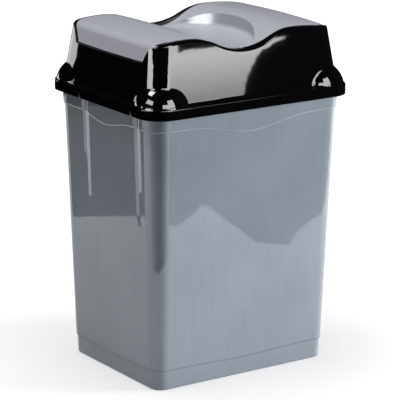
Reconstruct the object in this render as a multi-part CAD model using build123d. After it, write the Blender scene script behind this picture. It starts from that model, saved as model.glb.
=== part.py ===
from build123d import *
from math import cos, degrees, radians, sin, sqrt, tan
import os

# Bin body, outside sizes
base_width = 216.0
base_depth = 280.0
base_corner = 19.0
rim_width = 244.0
rim_depth = 307.0
rim_corner = 26.5
body_height = 388.0
body_wall = 2.2
floor_thickness = 2.6
floor_rise = 4.0
standing_ring = 12.0
floor_corner_radius = 6.0
base_edge_radius = 2.5

# Collar round the top and foot band round the base, which both sag in the middle of each side
band_step = 1.5
collar_height = 31.0
collar_sag_short = 10.0
collar_sag_long = 14.0
collar_arc_short = 134.0
collar_arc_long = 196.0
foot_height = 26.5
foot_sag = 2.5

# Flutes down the short sides, in line with pointed notches in the lid's skirt
flute_spacing = 127.0
flute_shift = 16.0
flute_depth = 1.6
flute_top_radius = 7.0
flute_foot_radius = 42.0
flute_length = 170.0
skirt_notch_width = 7.0
skirt_notch_height = 8.0

# Rolled rim that carries the lid
rim_plate = 2.2
rim_return = 7.0
rim_return_wall = 2.0

# Lid hood
skirt_width = 266.0
skirt_depth = 326.0
skirt_corner = 31.0
skirt_drop = 14.7
lid_wall = 2.4
ledge_width = 12.0
ledge_edge_radius = 2.2
hood_rise = 83.8
hood_lean = 7.7
hood_corner = 23.5
end_bow = 5.0
dome_radius = 35.5
dome_sink = 6.7
dome_foot_fillet = 6.0
ledge_fillet = 3.0
rim_roll_radius = 3.6

# Wave of the hood's top, seen from the side, with its valley over the flap's pivot
crest_spacing = 168.0
rim_valley_depth = 20.0
end_fall_radius = 310.0
crown_radius = 3000.0

# Opening in the hood, with a flange hanging from each long edge and a notch in each end wall
opening_rim = 8.0
flange_wall = 1.8
flange_depth = 10.0
notch_drop = 30.5
notch_width = 164.0
notch_flare_width = 208.0
notch_flare_radius = 60.0

# Swing flap, whose own wave stands a little higher than the hood's and dips deeper
flap_wall = 2.0
flap_gap = 1.0
flap_rise = 1.2
flap_valley_depth = 26.0
nose_radius = 10.0
flap_side_depth = 9.0
dish_length = 196.0
dish_width = 126.0
dish_depth = 0.5
dish_floor_radius = 450.0
dish_fillet = 5.0
stiffener_spacing = 90.0
stiffener_wall = 1.6
stiffener_depth = 5.0
closing_rib_drop = 70.0
closing_rib_width = 166.0
closing_rib_wall = 2.4
closing_rib_setback = 7.0

# Pivot of the flap, forward of the middle so that the rear half holds it shut
pivot_forward = 4.0
pin_radius = 3.0
pin_reach = 4.0
pin_play = 0.05
lug_radius = 6.5
boss_radius = 6.2
entry_slot_width = 5.0
stop_peg_radius = 2.5
stop_peg_reach = 34.0
open_angle = 50.0

# Clearances between pieces
seat_gap = 0.3
skirt_gap = 0.6
wall_gap = 0.8
stop_gap = 0.3

# Worked out from the sizes above
ledge_height = body_height + seat_gap + lid_wall
crest_height = ledge_height + hood_rise
block_top = crest_height + notch_drop
sky = block_top + hood_rise
hood_foot_x = skirt_width / 2 - ledge_width
hood_foot_y = skirt_depth / 2 - ledge_width
lean = tan(radians(hood_lean))
rim_skirt_x = skirt_width / 2 - lid_wall - skirt_gap
rim_skirt_y = skirt_depth / 2 - lid_wall - skirt_gap
opening_half_x = hood_foot_x - hood_rise * lean - opening_rim
opening_half_y = hood_foot_y - hood_rise * lean - opening_rim
opening_corner = hood_corner - opening_rim
notch_height = crest_height - notch_drop
flap_half_x = opening_half_x - flap_gap
closing_rib_y = opening_half_y - closing_rib_setback
half_spacing = crest_spacing / 2
flap_bend = (half_spacing ** 2 + flap_valley_depth ** 2) / (4 * flap_valley_depth)
side_drop = crown_radius - sqrt(crown_radius ** 2 - flap_half_x ** 2)
flap_middle_valley = crest_height + flap_rise - flap_valley_depth
flap_side_valley = flap_middle_valley - side_drop
pivot_height = flap_side_valley - lug_radius


def rounded_plate(width, depth, corner, z):
    """A rounded rectangle lying level at height z."""
    return Plane.XY.offset(z) * RectangleRounded(width, depth, corner)


def body_section(z, outset):
    """The body's plan at height z, grown by outset all round."""
    share = z / body_height
    width = base_width + (rim_width - base_width) * share + 2 * outset
    depth = base_depth + (rim_depth - base_depth) * share + 2 * outset
    corner = base_corner + (rim_corner - base_corner) * share + outset
    return rounded_plate(width, depth, corner, z)


def body_taper(z_low, z_high, outset):
    """The tapered body between two heights."""
    return loft([body_section(z_low, outset), body_section(z_high, outset)], ruled=True)


def under_arc(plane, height, sag, arc, reach):
    """All that lies below a level line that sags in an arc in the middle, looking at the plane."""
    line = Spline(
        (-arc / 2, height), (0, height - sag), (arc / 2, height), tangents=((1, 0), (1, 0))
    )
    left = Polyline((-arc / 2, height), (-reach, height), (-reach, -reach))
    right = Polyline((-reach, -reach), (reach, -reach), (reach, height), (arc / 2, height))
    return extrude(plane * make_face(line + left + right), reach, both=True)


def sagging_band(solid, height, sag_short, arc_short, sag_long, arc_long):
    """The part of a solid above a level line that sags in the middle of all four sides."""
    short_ends = solid - under_arc(Plane.XZ, height, sag_short, arc_short, body_height)
    long_sides = solid - under_arc(Plane.YZ, height, sag_long, arc_long, body_height)
    return short_ends + long_sides


def flute_spots(side):
    """Where the two flutes of a short side lie; turning the bin end for end changes nothing."""
    return [-side * flute_shift - flute_spacing / 2, -side * flute_shift + flute_spacing / 2]


def flute(x, side):
    """A soft flute that starts at the rim and dies away down a short side."""
    top = rim_depth / 2 + band_step
    foot_z = body_height - flute_length
    foot = (base_depth + (rim_depth - base_depth) * foot_z / body_height) / 2 + band_step
    top_centre = Pos(x, side * (top + flute_top_radius - flute_depth), body_height)
    foot_centre = Pos(x, side * (foot + flute_foot_radius), foot_z)
    return loft([foot_centre * Circle(flute_foot_radius), top_centre * Circle(flute_top_radius)])


def bin_body():
    """The open bin: tapered walls, raised floor, foot band, collar and rolled rim."""
    foot = body_taper(0, foot_height + band_step, -band_step)
    walls = sagging_band(
        body_taper(0, body_height, 0),
        foot_height, foot_sag, collar_arc_short, foot_sag, collar_arc_long,
    )
    collar = sagging_band(
        body_taper(0, body_height, band_step),
        body_height - collar_height,
        collar_sag_short, collar_arc_short, collar_sag_long, collar_arc_long,
    )
    foot = fillet(foot.faces().sort_by(Axis.Z)[0].edges(), base_edge_radius)
    outside = foot + walls + collar
    for side in (-1, 1):
        for x in flute_spots(side):
            outside -= flute(x, side)

    inner_floor = floor_rise + floor_thickness
    inside = body_taper(inner_floor, foot_height + band_step, -body_wall - band_step)
    inside = fillet(inside.faces().sort_by(Axis.Z)[0].edges(), floor_corner_radius)
    inside += body_taper(foot_height, body_height, -body_wall)
    inside += body_taper(body_height - collar_height + band_step, body_height, band_step - body_wall)
    underside = extrude(
        rounded_plate(
            base_width - 2 * standing_ring, base_depth - 2 * standing_ring,
            base_corner - standing_ring / 2, 0,
        ),
        floor_rise,
    )

    rim_top = body_height
    plate_corner = skirt_corner - lid_wall - skirt_gap
    rim_plan = rounded_plate(2 * rim_skirt_x, 2 * rim_skirt_y, plate_corner, rim_top - rim_return)
    hollow_plan = rounded_plate(
        2 * (rim_skirt_x - rim_return_wall), 2 * (rim_skirt_y - rim_return_wall),
        plate_corner - rim_return_wall, rim_top - rim_return,
    )
    rim = extrude(rim_plan, rim_return) - extrude(hollow_plan, rim_return - rim_plate)
    rim = fillet(rim.faces().sort_by(Axis.Z)[-1].edges(), rim_plate / 2)
    return outside + rim - inside - underside


def hood_section(z, inset):
    """The hood's plan at height z: straight long sides, slightly bowed ends."""
    half_x = hood_foot_x - (z - ledge_height) * lean - inset
    half_y = hood_foot_y - (z - ledge_height) * lean - inset
    right = Line((half_x, -half_y), (half_x, half_y))
    rear = ThreePointArc((half_x, half_y), (0, half_y + end_bow), (-half_x, half_y))
    left = Line((-half_x, half_y), (-half_x, -half_y))
    front = ThreePointArc((-half_x, -half_y), (0, -half_y - end_bow), (half_x, -half_y))
    plan = make_face(right + rear + left + front)
    plan = fillet(plan.vertices(), hood_corner - inset)
    return Plane.XY.offset(z) * plan


def hood_taper(z_low, z_high, inset):
    """The leaning hood between two heights."""
    return loft([hood_section(z_low, inset), hood_section(z_high, inset)], ruled=True)


def crowned(outline):
    """What a side view centred on the pivot covers when it swings across the lid's crown."""
    side_view = Plane.YZ * Pos(-pivot_forward, 0) * outline
    axis = Axis((0, 0, crest_height - crown_radius), (0, 1, 0))
    swing = 2 * degrees(skirt_width / crown_radius)
    return revolve(side_view.rotate(axis, -swing / 2), axis, swing)


def over_wave(crest, valley_depth, drop):
    """The space above a wavy, crowned top surface, lowered square to itself by drop."""
    bend = (half_spacing ** 2 + valley_depth ** 2) / (4 * valley_depth)
    steepest = half_spacing / (2 * bend)
    fall = half_spacing / end_fall_radius

    def on_arc(radius, slope):
        """The point of an arc under the rear crest where the sine of its slope is this."""
        y = half_spacing + (radius - drop) * slope
        return (y, crest - radius + (radius - drop) * sqrt(1 - slope ** 2))

    def front(point):
        """The same point on the front half."""
        return (-point[0], point[1])

    valley = (0, crest - valley_depth - drop)
    join, crest_mid = on_arc(bend, -steepest), on_arc(bend, -steepest / 2)
    top = on_arc(bend, 0)
    fall_mid, tip = on_arc(end_fall_radius, fall / 2), on_arc(end_fall_radius, fall)
    outline = make_face(
        ThreePointArc(tip, fall_mid, top)
        + ThreePointArc(top, crest_mid, join)
        + ThreePointArc(join, valley, front(join))
        + ThreePointArc(front(join), front(crest_mid), front(top))
        + ThreePointArc(front(top), front(fall_mid), front(tip))
        + Polyline(front(tip), (-tip[0], sky), (tip[0], sky), tip)
    )
    return crowned(outline)


def over_hood(drop):
    """The space above the hood's top surface, lowered by drop."""
    return over_wave(crest_height, rim_valley_depth, drop)


def over_flap(drop):
    """The space above the flap's top surface, lowered by drop."""
    return over_wave(crest_height + flap_rise, flap_valley_depth, drop)


def opening_plan(shrink):
    """The hood's opening seen from above, shrunk by a gap all round, as an upright prism."""
    width = 2 * (opening_half_x - shrink)
    depth = 2 * (opening_half_y - shrink)
    plan = rounded_plate(width, depth, opening_corner - shrink, ledge_height)
    return extrude(plan, sky - ledge_height)


def notch(shrink, bottom):
    """The notch in both end walls that lets the flap's lips through, as a level prism."""
    low = notch_width / 2 - shrink
    high = notch_flare_width / 2 - shrink
    profile = (
        Polyline((-high, crest_height), (-high, sky), (high, sky), (high, crest_height))
        + RadiusArc((high, crest_height), (low, bottom), -notch_flare_radius)
        + Line((low, bottom), (-low, bottom))
        + RadiusArc((-low, bottom), (-high, crest_height), -notch_flare_radius)
    )
    prism = extrude(Plane.XZ * make_face(profile), skirt_depth / 2, both=True)
    return prism - Box(skirt_width, 2 * (opening_half_y - hood_corner), 2 * sky)


def hood_corners(radius, z_low):
    """The domes that swell from the foot of the hood's four corners."""
    spread_x = hood_foot_x - hood_corner
    spread_y = hood_foot_y - hood_corner
    ball = Pos(0, 0, ledge_height - dome_sink) * Sphere(radius)
    ball -= Pos(0, 0, z_low - sky / 2) * Box(sky, sky, sky)
    return [Pos(x, y, 0) * ball for x in (-spread_x, spread_x) for y in (-spread_y, spread_y)]


def roll_over(block, radius):
    """The block with the outer edge of its wavy top rolled over all round."""
    top_edges = [
        edge for edge in block.edges().filter_by(lambda e: e.center().Z > notch_height)
        if abs(edge.center().X) > hood_foot_x * 0.6 or abs(edge.center().Y) > hood_foot_y * 0.85
    ]
    return fillet(top_edges, radius)


def hood_body(inset):
    """The hood above its ledge with its corner domes blended in, shrunk by inset."""
    block = hood_taper(ledge_height - lid_wall - inset, block_top, inset)
    for dome in hood_corners(dome_radius - inset, ledge_height - lid_wall):
        block += dome
    dome_top = ledge_height - dome_sink + dome_radius
    dome_feet = [
        edge for edge in block.edges().filter_by(GeomType.BSPLINE)
        if ledge_height < edge.center().Z < dome_top
    ]
    block = fillet(dome_feet, dome_foot_fillet + inset)
    return roll_over(block - over_hood(inset), rim_roll_radius - inset)


def side_rod(x, y, z, radius, length):
    """A round rod that starts at x and runs outward, away from the middle."""
    side = 1 if x > 0 else -1
    return Pos(x + side * length / 2, y, z) * Rot(0, 90, 0) * Cylinder(radius, length)


def stop_spots():
    """Where the pegs stand that stop the flap shut and open, as (y, z)."""
    reach = flap_bend + flap_side_depth + stop_gap + stop_peg_radius
    peg_height = flap_side_valley + flap_bend - sqrt(reach ** 2 - stop_peg_reach ** 2)
    arm = peg_height - pivot_height
    swing_cos = cos(radians(open_angle))
    swing_sin = sin(radians(open_angle))
    shut = (stop_peg_reach - pivot_forward, peg_height)
    opened = (
        -stop_peg_reach * swing_cos - arm * swing_sin - pivot_forward,
        -stop_peg_reach * swing_sin + arm * swing_cos + pivot_height,
    )
    return [shut, opened]


def flanges():
    """The plates that hang from the long edges of the opening, before the rim is added."""
    plate = Box(flange_wall, 2 * (opening_half_y - hood_corner), 2 * sky)
    reach = opening_half_x + flange_wall / 2
    band = over_hood(flange_depth) - over_hood(lid_wall / 2)
    return band & (Pos(reach, 0) * plate + Pos(-reach, 0) * plate)


def lid_hood():
    """The lid: skirt, ledge, leaning walls with domed corners, rolled edge and opening."""
    skirt = extrude(
        rounded_plate(skirt_width, skirt_depth, skirt_corner, ledge_height - skirt_drop), skirt_drop
    )
    skirt = fillet(skirt.faces().sort_by(Axis.Z)[-1].edges(), ledge_edge_radius)
    outside = skirt + hood_body(0)
    at_ledge = outside.edges().filter_by(lambda e: abs(e.center().Z - ledge_height) < seat_gap)
    wall_feet = [
        edge for edge in at_ledge.filter_by(GeomType.BSPLINE)
        if edge.length > opening_half_x
    ]
    outside = fillet(wall_feet, ledge_fillet)

    skirt_inside = extrude(
        rounded_plate(
            skirt_width - 2 * lid_wall, skirt_depth - 2 * lid_wall,
            skirt_corner - lid_wall, ledge_height - skirt_drop,
        ),
        skirt_drop - lid_wall,
    )
    inside = skirt_inside + hood_body(lid_wall)
    for side in (-1, 1):
        start = side * opening_half_x
        inside -= side_rod(start, -pivot_forward, pivot_height, boss_radius, hood_foot_x)
        for y, z in stop_spots():
            inside -= side_rod(side * (flap_half_x - flap_wall), y, z, stop_peg_radius, hood_foot_x)
    shell = outside - inside - opening_plan(0) - notch(0, notch_height) + flanges()

    point = Polyline(
        (-skirt_notch_width / 2, 0), (skirt_notch_width / 2, 0),
        (0, skirt_notch_height), (-skirt_notch_width / 2, 0),
    )
    skirt_notch = extrude(Plane.XZ * make_face(point), lid_wall, both=True)
    for side in (-1, 1):
        start = side * opening_half_x
        depth = pin_reach + pin_play
        shell -= side_rod(start, -pivot_forward, pivot_height, pin_radius + pin_play, depth)
        slot_height = sky - pivot_height
        slot = Box(depth, entry_slot_width, slot_height)
        slot_x = start + side * depth / 2
        shell -= Pos(slot_x, -pivot_forward, pivot_height + slot_height / 2) * slot
        for x in flute_spots(side):
            y = side * (skirt_depth - lid_wall) / 2
            shell -= Pos(x, y, ledge_height - skirt_drop) * skirt_notch
    return shell


def flap_form(shrink):
    """The flap as a solid block, shrunk by one or more walls."""
    inset = lid_wall + wall_gap + shrink
    block = hood_taper(ledge_height, block_top, inset) - over_flap(shrink)
    block = roll_over(block, nose_radius - shrink)
    lip_bottom = notch_height + flap_gap if shrink == 0 else ledge_height
    return block & (opening_plan(flap_gap + shrink) + notch(flap_gap + shrink, lip_bottom))


def dish(grow):
    """The oval dish in the middle of the flap, grown by the flap's wall for its underside."""
    half_width = dish_width / 2 + grow
    plan = Pos(0, -pivot_forward) * Ellipse(dish_length / 2 + grow, half_width)
    low = flap_middle_valley - dish_depth - grow
    high = low + half_width ** 2 / (2 * dish_floor_radius)
    floor = ThreePointArc((-half_width, high), (0, low), (half_width, high))
    sides = Polyline((half_width, high), (half_width, sky), (-half_width, sky), (-half_width, high))
    bowl = extrude(plan, sky) & crowned(make_face(floor + sides))
    return fillet(bowl.faces().sort_by(Axis.Z)[0].edges(), dish_fillet + grow)


def swing_flap():
    """The flap: a wavy shell with a push lip at each end and a dished middle."""
    form = flap_form(0)
    shell = form - flap_form(flap_wall)
    shell = (shell & over_flap(flap_side_depth)) + (shell & notch(0, notch_height))

    below_skin = form - over_flap(flap_wall / 2)
    for x in (-stiffener_spacing / 2, stiffener_spacing / 2):
        bar = Pos(x, 0, crest_height) * Box(stiffener_wall, 2 * closing_rib_y, 2 * sky)
        shell += below_skin & over_flap(flap_wall + stiffener_depth) & bar
    rib = Box(closing_rib_width, closing_rib_wall, closing_rib_drop)
    rib = Pos(0, closing_rib_y, crest_height - closing_rib_drop / 2) * rib
    shell += rib & below_skin

    shell += dish(flap_wall) & form
    shell -= dish(0)
    for side in (-1, 1):
        face = side * (flap_half_x - flap_wall)
        lug = side_rod(face, -pivot_forward, pivot_height, lug_radius, flap_wall)
        web_height = crest_height - pivot_height
        web = Pos(side * (flap_half_x - flap_wall / 2), -pivot_forward, pivot_height + web_height / 2)
        shell += lug
        shell += (web * Box(flap_wall, 2 * lug_radius, web_height)) & below_skin
        shell += side_rod(face, -pivot_forward, pivot_height, pin_radius, flap_wall + pin_reach)
    return shell


def main():
    os.makedirs("parts", exist_ok=True)
    export_step(bin_body(), "parts/bin_body.step")
    export_step(lid_hood(), "parts/lid_hood.step")
    export_step(swing_flap(), "parts/swing_flap.step")


main()
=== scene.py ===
from math import cos, radians, sin

import bpy
from mathutils import Matrix, Vector

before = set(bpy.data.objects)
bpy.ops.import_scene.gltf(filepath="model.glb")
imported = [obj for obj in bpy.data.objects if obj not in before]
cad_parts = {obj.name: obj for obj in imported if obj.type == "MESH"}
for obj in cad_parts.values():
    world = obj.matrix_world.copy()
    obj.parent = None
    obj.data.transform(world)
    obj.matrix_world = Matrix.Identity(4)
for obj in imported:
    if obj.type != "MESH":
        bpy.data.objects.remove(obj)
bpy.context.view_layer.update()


# Camera. A long lens three metres off and a little above the rim of the bin, looking down on
# one corner, so that the short end shows on the left and the long side on the right.
turn, tilt, roll = radians(55.701), radians(15.148), radians(0.379)
focal_pixels, photo_pixels = 2344, 400
away = Vector((sin(turn) * cos(tilt), -cos(turn) * cos(tilt), sin(tilt)))
level = Vector((cos(turn), sin(turn), 0))
upright = away.cross(level)
across = level * cos(roll) + upright * sin(roll)
upward = upright * cos(roll) - level * sin(roll)
lens = bpy.data.cameras.new("camera")
lens.sensor_width = 36
lens.lens = focal_pixels / photo_pixels * lens.sensor_width
camera = bpy.data.objects.new("camera", lens)
bpy.context.collection.objects.link(camera)
camera.matrix_world = (Matrix.Translation((2.57389, -1.75392, 1.06451))
                       @ Matrix((across, upward, away)).transposed().to_4x4())
bpy.context.scene.camera = camera
bpy.context.scene.view_settings.view_transform = "Standard"


# Studio. White paper under and behind the bin, a little dimmer near it than farther out. The
# camera and the gloss see it glow, and the lamps throw the bin's faint shadow on it.
class Flow:
    """A socket of a node, on which plain arithmetic adds the Math nodes that work it out."""

    def __init__(self, socket):
        self.socket = socket

    def math(self, operation, *others):
        return shading.node("ShaderNodeMath", {"operation": operation}, [self, *others])

    def clamped(self):
        """The value held between 0 and 1."""
        return self.math("MAXIMUM", 0.0).math("MINIMUM", 1.0)

    def __abs__(self):
        return self.math("ABSOLUTE")

    def __add__(self, other):
        return self.math("ADD", other)

    def __sub__(self, other):
        return self.math("SUBTRACT", other)

    def __rsub__(self, other):
        return shading.node("ShaderNodeMath", {"operation": "SUBTRACT"}, [other, self])

    def __mul__(self, other):
        return self.math("MULTIPLY", other)

    def __truediv__(self, other):
        return self.math("DIVIDE", other)

    __radd__, __rmul__ = __add__, __mul__


class Shading:
    """The node tree that is being written, of a material or of the world."""

    def start(self, owner):
        owner.use_nodes = True
        self.tree = owner.node_tree
        self.tree.nodes.clear()
        return owner

    def node(self, kind, settings=None, values=(), out=0):
        made = self.tree.nodes.new(kind)
        for name, setting in (settings or {}).items():
            if name == "stops":
                ramp = made.color_ramp.elements
                while len(ramp) < len(setting):
                    ramp.new(0.5)
                for stop, (place, shade) in zip(ramp, setting):
                    stop.position, stop.color = place, (*shade, 1)
            else:
                setattr(made, name, setting)
        named = values.items() if isinstance(values, dict) else enumerate(values)
        for name, value in named:
            if isinstance(value, Flow):
                self.tree.links.new(value.socket, made.inputs[name])
            else:
                made.inputs[name].default_value = value
        return Flow(made.outputs[out])

    def end(self, kind, surface):
        made = self.tree.nodes.new(kind)
        self.tree.links.new(surface.socket, made.inputs["Surface"])


shading = Shading()


def object_place():
    """The point that is shaded, in its object's own coordinates."""
    return shading.node("ShaderNodeTexCoord", out="Object")


def axis(vector, letter):
    return shading.node("ShaderNodeSeparateXYZ", values=[vector], out=letter)


def seen(mirror=1.0):
    """1 on rays that show the background itself, a share on its mirror images, else 0."""
    path = "ShaderNodeLightPath"
    straight = shading.node(path, out="Is Camera Ray")
    mirrored = shading.node(path, out="Is Glossy Ray") * mirror
    through = shading.node(path, out="Is Transmission Ray")
    return straight.math("MAXIMUM", mirrored).math("MAXIMUM", through)


def sheet_of_card(name, corners, faces):
    mesh = bpy.data.meshes.new(name)
    mesh.from_pydata(corners, [], faces)
    card = bpy.data.objects.new(name, mesh)
    bpy.context.collection.objects.link(card)
    return card


floor_half, near_reach, far_rise = 8, 0.25, 0.9
near_glow, paper_mirror = 0.50, 0.9
paper = shading.start(bpy.data.materials.new("white_paper"))
matt = shading.node("ShaderNodeBsdfDiffuse", values={"Color": (0.60, 0.60, 0.605, 1)})
distance = shading.node("ShaderNodeVectorMath", {"operation": "LENGTH"}, [object_place()],
                        out="Value")
open_floor = ((distance - near_reach) / far_rise).clamped()
glow = shading.node("ShaderNodeEmission", values={
    "Color": (1, 1, 1, 1),
    "Strength": seen(paper_mirror) * (near_glow + open_floor * (1 - near_glow))})
shading.end("ShaderNodeOutputMaterial", shading.node("ShaderNodeAddShader", values=[matt, glow]))
floor = sheet_of_card("floor", [
    (-floor_half, -floor_half, 0), (floor_half, -floor_half, 0),
    (floor_half, floor_half, 0), (-floor_half, floor_half, 0)], [(0, 1, 2, 3)])
floor.data.materials.append(paper)

fill = 0.06
room = shading.start(bpy.data.worlds.new("room"))
bpy.context.scene.world = room
shading.end("ShaderNodeOutputWorld", shading.node("ShaderNodeBackground", values={
    "Color": (1, 1, 1, 1), "Strength": fill + seen() * (1 - fill)}))


# Reflectors. Black cards and light panels stand round the bin and hang over it, out of view,
# and only its gloss picks them up. They give the hood its grey streaks between black, the walls
# their dark upper half, the near corner its dark middle and the dish its bright steep wall.
black_card = shading.start(bpy.data.materials.new("black_card"))
shading.end("ShaderNodeOutputMaterial",
            shading.node("ShaderNodeBsdfDiffuse", values={"Color": (0.003, 0.003, 0.003, 1)}))


def end_glowing(strength):
    """Ends the material that is being written as a cool white glow."""
    shading.end("ShaderNodeOutputMaterial", shading.node("ShaderNodeEmission", values={
        "Color": (0.97, 0.98, 1, 1), "Strength": strength}))


def light_panel(name, strength, fall=0.0):
    """A panel that glows with a strength, which falls by a share from the bin's top to its rim."""
    bin_top, top_to_rim = 0.475, 0.075
    panel = shading.start(bpy.data.materials.new(name))
    share = ((bin_top - axis(object_place(), "Z")) / top_to_rim).clamped()
    end_glowing((1 - share * fall) * strength)
    return panel


def around(angle, distance):
    """A plan point that lies at an angle from the short end's outward direction."""
    return distance * sin(radians(angle)), -distance * cos(radians(angle))


def reflector(name, rows, material):
    """A card through rows of points from its foot to its top, which only the gloss sees."""
    corners = [corner for row in rows for corner in row]
    n = len(rows[0])
    faces = [(r * n + i, r * n + i + 1, r * n + n + i + 1, r * n + n + i)
             for r in range(len(rows) - 1) for i in range(n - 1)]
    card = sheet_of_card(name, corners, faces)
    card.data.materials.append(material)
    card.visible_camera = card.visible_diffuse = False
    card.visible_shadow = card.visible_transmission = False


def standing(name, plan, low, high, material):
    """An upright card on a line of plan points."""
    reflector(name, [[(x, y, z) for x, y in plan] for z in (low, high)], material)


def hanging(name, left, right, front, back, height, material):
    """A level card over the bin."""
    reflector(name, [[(left, y, height), (right, y, height)] for y in (front, back)], material)


def arc_wall(name, first, last, distance, low, high, material):
    """An upright card on an arc round the bin, from one angle to another."""
    facet = 8
    steps = max(2, round(abs(last - first) / facet))
    plan = [around(first + (last - first) * i / steps, distance) for i in range(steps + 1)]
    standing(name, plan, low, high, material)


# Seen from above, the upper half of each wall mirrors its card and the lower half the paper.
# The long side's card bends. Each of its points is given to the side of the line along which it
# faces the bin, and out along that line.
card_top, grey_top = 0.36, 0.19
along, beside = Vector((0.819, 0.574)), Vector((-0.574, 0.819))
long_side_bends = ((-0.90, 0.62), (-0.40, 0.66), (-0.166, 0.690), (-0.122, 0.800),
                   (-0.080, 0.72), (-0.042, 0.628), (0.016, 0.622), (0.035, 0.72),
                   (0.08, 0.80), (0.60, 0.80))
standing("long_side_card", [tuple(along * out + beside * side) for side, out in long_side_bends],
         0, card_top, black_card)
short_side_plan = [around(-57, 0.785), around(-49, 0.78), around(-40, 0.785)]
standing("short_side_card", short_side_plan, 0, grey_top, light_panel("grey_card", 0.24))
standing("short_side_screen", short_side_plan, grey_top, card_top, black_card)

# The card at the near corner is black in the middle and brightens towards both its ends.
corner_turn, bright_reach = radians(50), 0.27
shaded_card = shading.start(bpy.data.materials.new("shaded_card"))
off_middle = shading.node(
    "ShaderNodeVectorMath", {"operation": "DOT_PRODUCT"},
    [object_place(), (cos(corner_turn), sin(corner_turn), 0)], out="Value") / bright_reach
end_glowing(off_middle * off_middle)
standing("corner_card", [around(angle, 0.42) for angle in (10, 23, 37, 50, 63, 77, 90)],
         0.07, 0.30, shaded_card)

# A dark room closes the rest of the bin's surroundings, with the light panels inside it. An arc
# has its first and last angle, its distance, and the heights of its foot and top.
room_reach, room_height, panel_reach = 1.6, 3.2, 1.25
arc_wall("surround", -180, 180, room_reach, 0, room_height, black_card)
hanging("canopy", left=-room_reach, right=room_reach, front=-room_reach, back=room_reach,
        height=room_height, material=black_card)
soft_white = light_panel("soft_white", 6.4, 0.50)
hanging("dish_panel", left=-1.1, right=-0.2, front=-1.3, back=-0.5,
        height=2.2, material=light_panel("bright_white", 11.0))
arc_wall("corner_left_panel", -28, 10, panel_reach, 0.36, 0.575, soft_white)
standing("dome_left_panel", [(-0.03, -0.58), (0.26, -0.58)], 0.60, 0.78, soft_white)
arc_wall("far_left_panel", -85, -59, panel_reach, 0.28, 0.42, soft_white)
right_edge = ((1.111, 0.656, 0.37), (1.111, 0.663, 0.392), (1.108, 0.671, 0.416),
              (1.104, 0.681, 0.437), (1.101, 0.693, 0.452), (1.097, 0.707, 0.466),
              (1.092, 0.733, 0.480), (1.086, 0.763, 0.489))
reflector("right_panel", [[(1.29, 0.10, z), (1.16, 0.42, z), (x, y, z)]
                          for x, y, z in right_edge], soft_white)
arc_wall("corner_right_panel", 95, 116, panel_reach, 0.36, 0.66, soft_white)
arc_wall("dome_right_panel", 63, 116, panel_reach, 0.69, 1.0, soft_white)
arc_wall("high_right_panel", 87, 116, panel_reach, 1.0, 1.5, soft_white)


# Lamps. One soft lamp hangs over the bin and one stands low beyond its long side. They light
# its plastics and the paper, and the gloss sees the panels in their place.
def soft_light(name, place, target, size, strength):
    """A flat lamp of a width and a height, which faces a point."""
    lamp = bpy.data.lights.new(name, "AREA")
    lamp.shape = "RECTANGLE"
    lamp.size, lamp.size_y = size
    lamp.energy = strength
    light = bpy.data.objects.new(name, lamp)
    bpy.context.collection.objects.link(light)
    light.location = place
    light.rotation_euler = (Vector(place) - Vector(target)).to_track_quat("Z", "Y").to_euler()
    light.visible_glossy = False


soft_light("overhead", (-0.15, -0.35, 2.4), (0, 0, 0.3), (1.6, 1.6), 43)
soft_light("side", (1.6, 2.45, 0.62), (0, 0, 0.24), (1.0, 1.0), 105)


# Bin body. One injection moulding of grey pearl plastic: fine bright flakes in a blue-grey base
# under a smooth gloss skin, with the slow waviness of a large thin wall. It stands on its foot
# ring, and the lid drops over its rolled rim.
def dress(name, skin):
    """Gives a moulding its plastic, smooth but for the edges that are sharper than a crease."""
    crease = radians(28)
    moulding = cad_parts[name].data
    moulding.materials.clear()
    moulding.materials.append(skin)
    moulding.shade_smooth()
    moulding.set_sharp_from_angle(angle=crease)


pearl = shading.start(bpy.data.materials.new("pearl_grey_plastic"))
place = object_place()
cloud = shading.node("ShaderNodeTexNoise", values={"Vector": place, "Scale": 9.0, "Detail": 2.0})
flake = shading.node("ShaderNodeTexNoise", values={
    "Vector": place, "Scale": 1800.0, "Detail": 1.0})
combed = shading.node("ShaderNodeMapping", values={"Vector": place, "Scale": (1.0, 1.0, 0.012)})
streak = shading.node("ShaderNodeTexNoise", values={
    "Vector": combed, "Scale": 420.0, "Detail": 3.0})
tint = shading.node("ShaderNodeValToRGB", {"stops": [
    (0.34, (0.275, 0.318, 0.365)), (0.66, (0.360, 0.405, 0.455))]},
    [cloud * 0.38 + flake * 0.38 + streak * 0.24])

# Two flutes run down each short side, off its middle, and fade out towards their foot.
pair_offset, flute_spread, flute_half_width = 0.016, 0.0635, 0.0075
flute_foot, flute_height, flute_depth = 0.225, 0.165, 0.0014
short_wall_reach = 0.1285
x, y, z = (axis(place, letter) for letter in "XYZ")
from_flute = abs(x * y.math("SIGN") + pair_offset) - flute_spread
hollow = (1 - abs(from_flute) / flute_half_width).math("MAXIMUM", 0.0)
fade = ((z - flute_foot) / flute_height).math("MAXIMUM", 0.0).math("POWER", 0.5)
on_short_side = abs(y).math("GREATER_THAN", short_wall_reach)
flutes = hollow * fade * on_short_side * flute_depth

# The collar's lower edge and the foot band's upper edge sag in the middle of each side.
short_sag_reach, long_sag_reach, foot_reach = 0.067, 0.098, 0.1375
collar_height, collar_round, collar_relief = 0.3588, 0.0013, 0.0004
foot_height, painted_foot_shadow_half, painted_foot_shadow_strength = 0.0280, 0.0016, 0.45


def sag(offset, reach, depth):
    """How far an edge sags: its depth at the middle of a side, and nothing past its reach."""
    share = (abs(offset) / reach).math("MINIMUM", 1.0)
    return (1 - share * share * (3 - share * 2)) * depth


def sagging(height, short_sag, long_sag, on_short):
    """The height of an edge that sags on the short sides and on the long sides."""
    return (height - sag(x, short_sag_reach, short_sag) * on_short
            - sag(y, long_sag_reach, long_sag) * (1 - on_short))


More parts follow.
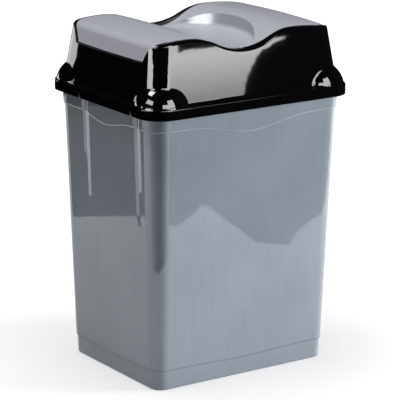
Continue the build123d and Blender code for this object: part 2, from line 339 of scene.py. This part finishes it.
on_foot_end = abs(y).math("GREATER_THAN", foot_reach)
edge_of_collar = sagging(collar_height, 0.010, 0.014, on_short_side)
rounding = ((edge_of_collar - z) / collar_round).clamped()
edge_of_foot = sagging(foot_height, 0.0025, 0.0025, on_foot_end)
# A thin dark line of painted shadow runs along the foot band's upper edge, where the wall
# overhangs the foot, and is mixed into the colour.
painted_foot_shadow = 1 - (abs(z - edge_of_foot) / painted_foot_shadow_half).math("MINIMUM", 1.0)
stretch = shading.node("ShaderNodeMapping", values={"Vector": place, "Scale": (1.0, 1.0, 0.35)})
wave = shading.node("ShaderNodeTexNoise", values={
    "Vector": stretch, "Scale": 16.0, "Detail": 1.0})
ripple = shading.node("ShaderNodeBump", values={
    "Strength": 1.0, "Distance": 1.0,
    "Height": wave * 0.0003 - flutes - rounding * collar_relief})

# The Mix node's sockets for colours go by number, because its other sockets share their names.
mix_share, mix_first, mix_second, mix_colour = 0, 6, 7, 2
# The body's colour with that line of painted shadow mixed in at the foot band's edge.
tint_with_painted_shadow = shading.node("ShaderNodeMix", {"data_type": "RGBA"}, {
    mix_share: painted_foot_shadow * painted_foot_shadow_strength, mix_first: tint,
    mix_second: (0.10, 0.12, 0.14, 1)}, out=mix_colour)
shading.end("ShaderNodeOutputMaterial", shading.node("ShaderNodeBsdfPrincipled", values={
    "Base Color": tint_with_painted_shadow, "Metallic": 0.12, "Roughness": 0.02 + flake * 0.03, "IOR": 1.5,
    "Normal": ripple}))
dress("bin_body", pearl)


# Lid hood. One injection moulding of glossy black plastic: the frame of the lid, with its rolled
# rim, its corner domes and the skirt that drops over the rim of the body and lifts off it.
black = shading.start(bpy.data.materials.new("black_plastic"))
smear = shading.node("ShaderNodeTexNoise", values={
    "Vector": object_place(), "Scale": 14.0, "Detail": 3.0})
sink = shading.node("ShaderNodeBump", values={
    "Strength": 1.0, "Distance": 0.0001, "Height": smear})
shading.end("ShaderNodeOutputMaterial", shading.node("ShaderNodeBsdfPrincipled", values={
    "Base Color": (0.0025, 0.0025, 0.003, 1), "Roughness": 0.015 + smear * 0.025,
    "Specular IOR Level": 0.9, "Normal": sink}))
dress("lid_hood", black)


# Swing flap. One injection moulding of light silver plastic with a satin gloss, which tips on
# two stub pins that snap into the hood. Its steep faces catch the light as rounder ones would,
# because its normals are lifted towards the flap's own top before they turn with the flap.
silver = shading.start(bpy.data.materials.new("silver_plastic"))
fleck = shading.node("ShaderNodeTexNoise", values={
    "Vector": object_place(), "Scale": 2400.0, "Detail": 1.0})
shade = shading.node("ShaderNodeValToRGB", {"stops": [
    (0.30, (0.49, 0.51, 0.56)), (0.70, (0.55, 0.57, 0.62))]}, [fleck])
facing = shading.node("ShaderNodeTexCoord", out="Normal")
steep = (1 - axis(facing, "Z")).math("MINIMUM", 1.0)
lift = shading.node("ShaderNodeCombineXYZ", values={"Z": steep})
lifted = shading.node("ShaderNodeVectorMath", {"operation": "ADD"}, [facing, lift])
soft_edge = shading.node("ShaderNodeVectorTransform", {
    "vector_type": "NORMAL", "convert_from": "OBJECT", "convert_to": "WORLD"}, [lifted])
shading.end("ShaderNodeOutputMaterial", shading.node("ShaderNodeBsdfPrincipled", values={
    "Base Color": shade, "Metallic": 0.05, "Roughness": 0.15 + fleck * 0.06,
    "Specular IOR Level": 0.5, "Normal": soft_edge}))
dress("swing_flap", silver)
